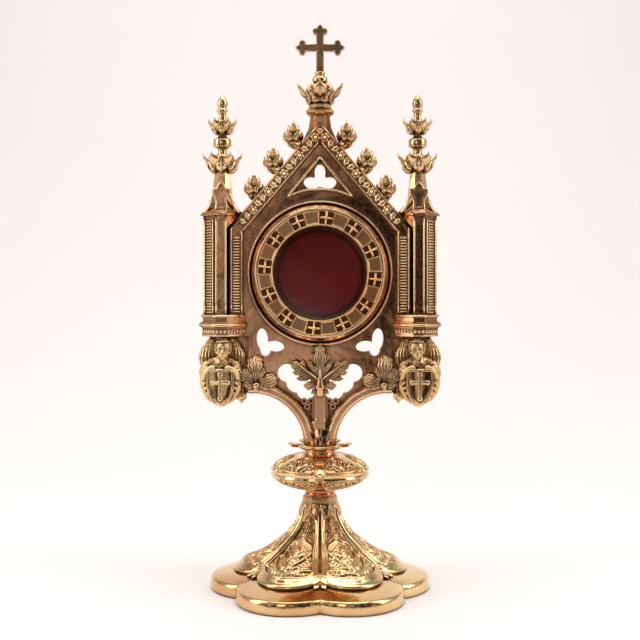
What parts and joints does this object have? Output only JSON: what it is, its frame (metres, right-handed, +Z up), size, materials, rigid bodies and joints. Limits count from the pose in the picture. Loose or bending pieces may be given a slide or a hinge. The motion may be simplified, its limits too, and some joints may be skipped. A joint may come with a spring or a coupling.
{
  "type": "altar monstrance",
  "caption": "Gothic standing monstrance: lobed foot, lens-shaped knop, pierced gabled facade with towers and corbel figures, and a round glazed case that opens at the back.",
  "frame": {"origin": "centre of the foot on the table plane", "axes": "+Z up along the stem, -Y towards the front of the window, +X to the viewer's right"},
  "size_m": [0.1304, 0.1084, 0.3],
  "materials": {
    "gilt_brass": "polished, with brown patina in the recesses",
    "dark_brass": "satin",
    "steel": "satin",
    "clear_glass": "clear",
    "red_velvet": "velvet pile",
    "backing_wood": "plain"
  },
  "bodies": {
    "stand": {"angel_left": "gilt_brass", "angel_right": "gilt_brass", "angel_screws": "dark_brass", "apex_collar": "gilt_brass", "apex_crown": "gilt_brass", "apex_knob": "gilt_brass", "apex_stud": "steel", "bezel": "gilt_brass", "case_drum": "gilt_brass", "case_screws": "dark_brass", "catch_post": "dark_brass", "catch_screw": "dark_brass", "centre_leaf": "gilt_brass", "crockets_left": "gilt_brass", "crockets_right": "gilt_brass", "cross": "gilt_brass", "facade": "gilt_brass", "foot": "gilt_brass", "foot_nut": "steel", "foot_washer": "steel", "gable_strip_left": "gilt_brass", "gable_strip_right": "gilt_brass", "glass": "clear_glass", "hinge_bracket": "dark_brass", "hinge_pin": "dark_brass", "hinge_screws": "dark_brass", "knop_lower": "gilt_brass", "knop_upper": "gilt_brass", "leaf_left": "gilt_brass", "leaf_right": "gilt_brass", "leaf_rivets": "dark_brass", "lower_collar": "gilt_brass", "petal_collar": "gilt_brass", "pinnacle_left": "gilt_brass", "pinnacle_right": "gilt_brass", "tie_rod": "steel", "tower_left": "gilt_brass", "tower_right": "gilt_brass", "tower_screws": "dark_brass", "upper_collar": "gilt_brass"},
    "door": {"door": "dark_brass", "pad_board": "backing_wood", "velvet_pad": "red_velvet", "door_knob": "dark_brass"},
    "catch": {"catch": "dark_brass"}
  },
  "joints": [
    {"name": "door_hinge", "type": "hinge", "parent": "stand", "child": "door", "pos_m": [0.0325, 0.0093, 0.167], "axis": [0, 0, -1], "range_deg": [0, 115]},
    {"name": "catch_turn", "type": "hinge", "parent": "stand", "child": "catch", "pos_m": [-0.0335, 0.0113, 0.167], "axis": [0, 1, 0], "continuous": true}
  ]
}
